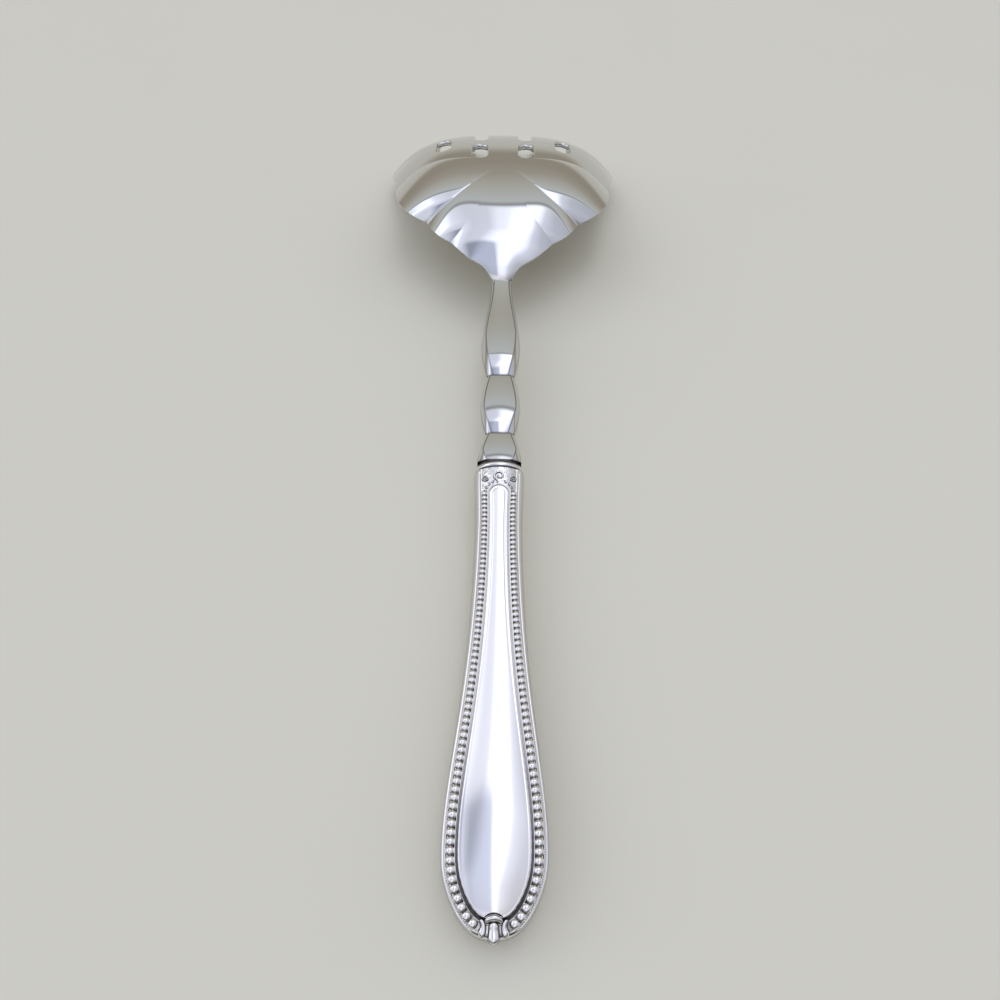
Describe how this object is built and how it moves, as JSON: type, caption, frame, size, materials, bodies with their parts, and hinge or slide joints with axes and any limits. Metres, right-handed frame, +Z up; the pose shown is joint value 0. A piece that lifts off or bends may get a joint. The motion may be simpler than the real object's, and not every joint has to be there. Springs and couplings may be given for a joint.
{
  "type": "serving fork",
  "caption": "Broad pierced serving fork with fluted bowl, faceted baluster neck and hollow beaded handle, shown lying face down.",
  "frame": {"origin": "middle of the whole length and width, on the table plane that the handle belly and the tine tips rest on", "axes": "+Y from the butt of the handle towards the tines, +Z up from the table out of the back of the bowl, +X to the right seen from the handle end"},
  "size_m": [0.0776, 0.2604, 0.0266],
  "materials": {
    "polished_steel": "mirror polished stainless steel",
    "silver": "polished silver, darkened in the recesses",
    "cement": "matte hard filler"
  },
  "bodies": {
    "root": {"fork_forging": "polished_steel", "handle_front_shell": "silver", "handle_back_shell": "silver", "handle_collar": "silver", "tang_cement": "cement"}
  },
  "joints": []
}
